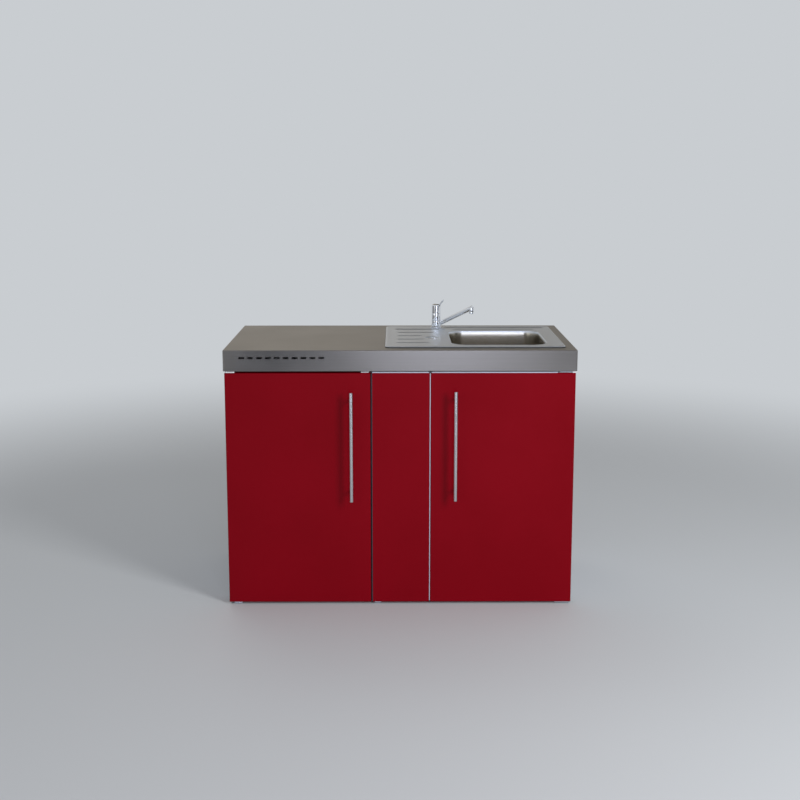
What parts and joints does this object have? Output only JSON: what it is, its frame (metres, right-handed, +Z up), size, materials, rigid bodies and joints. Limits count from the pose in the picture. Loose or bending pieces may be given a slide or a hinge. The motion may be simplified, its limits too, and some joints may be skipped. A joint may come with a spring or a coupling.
{
  "type": "kitchenette unit",
  "caption": "Steel kitchenette: stainless worktop with inset sink, drainer and mixer tap over a fridge and a sink cabinet with red doors and bar handles.",
  "frame": {"origin": "on the floor, below the middle of the box that holds the whole unit with its handles", "axes": "+X along the front to the right as seen by a person in front, +Y to the wall behind, +Z up"},
  "size_m": [1.2, 0.638, 1.0144],
  "materials": {
    "worktop_steel": "satin",
    "sink_steel": "satin",
    "chrome": "polished",
    "handle_steel": "satin",
    "ruby_coat": "satin",
    "grey_coat": "satin",
    "zinc": "satin",
    "casing_white": "satin",
    "white_plastic": "satin",
    "grey_plastic": "matte",
    "black_paint": "satin",
    "gasket_rubber": "matte",
    "shelf_glass": "gloss",
    "clear_plastic": "gloss"
  },
  "bodies": {
    "cabinet": {"worktop": "worktop_steel", "worktop_rib": "worktop_steel", "sink": "sink_steel", "overflow_cover": "chrome", "waste_flange": "chrome", "tap_base_ring": "chrome", "tap_body": "chrome", "centre_panel": "ruby_coat", "cabinet_side_left": "grey_coat", "cabinet_side_right": "grey_coat", "base_panel": "grey_coat", "back_panel": "grey_coat", "front_rail": "grey_coat", "centre_post": "grey_coat", "end_panel": "grey_coat", "tap_nut": "zinc", "fridge_hinge_top": "zinc", "fridge_hinge_bottom": "zinc", "sink_hinge_top": "zinc", "sink_hinge_bottom": "zinc", "fridge_casing": "casing_white", "fridge_liner": "white_plastic", "thermostat_housing": "white_plastic", "door_catch": "white_plastic", "bottle_trap": "white_plastic", "drain_pipe": "white_plastic", "overflow_pipe": "white_plastic", "waste_housing": "grey_plastic", "compressor": "black_paint", "condenser_coil": "black_paint", "fridge_shelf_lower": "shelf_glass", "fridge_shelf_upper": "shelf_glass"},
    "fridge_door": {"fridge_door_skin": "ruby_coat", "fridge_door_liner": "white_plastic", "fridge_door_gasket": "gasket_rubber", "door_rack_bottom": "clear_plastic", "door_rack_top": "clear_plastic", "fridge_door_bumper": "white_plastic", "fridge_handle_bar": "handle_steel", "fridge_handle_post_top": "handle_steel", "fridge_handle_post_bottom": "handle_steel"},
    "sink_door": {"sink_door_skin": "ruby_coat", "sink_door_inner": "grey_coat", "sink_door_bumper": "white_plastic", "sink_handle_bar": "handle_steel", "sink_handle_post_top": "handle_steel", "sink_handle_post_bottom": "handle_steel"},
    "spout": {"tap_spout": "chrome", "tap_aerator": "chrome"},
    "lever_cap": {"tap_cap": "chrome"},
    "lever": {"tap_lever": "chrome"},
    "basket": {"strainer_basket": "chrome"},
    "thermostat": {"thermostat_knob": "grey_plastic"},
    "crisper": {"crisper_drawer": "clear_plastic"},
    "cabinet_foot_front_left": {"cabinet_foot_front_left": "white_plastic"},
    "cabinet_foot_front_right": {"cabinet_foot_front_right": "white_plastic"},
    "cabinet_foot_back_left": {"cabinet_foot_back_left": "white_plastic"},
    "cabinet_foot_back_right": {"cabinet_foot_back_right": "white_plastic"},
    "fridge_foot_left": {"fridge_foot_left": "white_plastic"},
    "fridge_foot_right": {"fridge_foot_right": "white_plastic"}
  },
  "joints": [
    {"name": "fridge_door_hinge", "type": "hinge", "parent": "cabinet", "child": "fridge_door", "pos_m": [-0.5845, -0.253, 0.4145], "axis": [0, 0, -1], "range_deg": [0, 110]},
    {"name": "sink_door_hinge", "type": "hinge", "parent": "cabinet", "child": "sink_door", "pos_m": [0.5895, -0.264, 0.4145], "axis": [0, 0, 1], "range_deg": [0, 110]},
    {"name": "spout_swivel", "type": "hinge", "parent": "cabinet", "child": "spout", "pos_m": [0.139, 0.239, 0.9195], "axis": [0, 0, 1], "range_deg": [-60, 60]},
    {"name": "lever_turn", "type": "hinge", "parent": "cabinet", "child": "lever_cap", "pos_m": [0.139, 0.239, 0.96], "axis": [0, 0, 1], "range_deg": [-45, 45]},
    {"name": "lever_lift", "type": "hinge", "parent": "lever_cap", "child": "lever", "pos_m": [0.139, 0.239, 0.975], "axis": [-0.7071, -0.7071, 0], "range_deg": [0, 22]},
    {"name": "basket_lift", "type": "slide", "parent": "cabinet", "child": "basket", "axis": [0, 0, 1], "range_m": [0, 0.12]},
    {"name": "thermostat_turn", "type": "hinge", "parent": "cabinet", "child": "thermostat", "pos_m": [-0.15575, -0.08125, 0.7275], "axis": [0, -1, 0], "range_deg": [0, 270]},
    {"name": "crisper_slide", "type": "slide", "parent": "cabinet", "child": "crisper", "axis": [0, -1, 0], "range_m": [0, 0.036]},
    {"name": "cabinet_foot_front_left_turn", "type": "hinge", "parent": "cabinet", "child": "cabinet_foot_front_left", "pos_m": [-0.06975, -0.22425, 0.003], "axis": [0, 0, 1], "continuous": true},
    {"name": "cabinet_foot_front_right_turn", "type": "hinge", "parent": "cabinet", "child": "cabinet_foot_front_right", "pos_m": [0.56875, -0.22425, 0.003], "axis": [0, 0, 1], "continuous": true},
    {"name": "cabinet_foot_back_left_turn", "type": "hinge", "parent": "cabinet", "child": "cabinet_foot_back_left", "pos_m": [-0.06975, 0.25125, 0.003], "axis": [0, 0, 1], "continuous": true},
    {"name": "cabinet_foot_back_right_turn", "type": "hinge", "parent": "cabinet", "child": "cabinet_foot_back_right", "pos_m": [0.56875, 0.25125, 0.003], "axis": [0, 0, 1], "continuous": true},
    {"name": "fridge_foot_left_turn", "type": "hinge", "parent": "cabinet", "child": "fridge_foot_left", "pos_m": [-0.54275, -0.193, 0.003], "axis": [0, 0, 1], "continuous": true},
    {"name": "fridge_foot_right_turn", "type": "hinge", "parent": "cabinet", "child": "fridge_foot_right", "pos_m": [-0.1255, -0.193, 0.003], "axis": [0, 0, 1], "continuous": true}
  ]
}
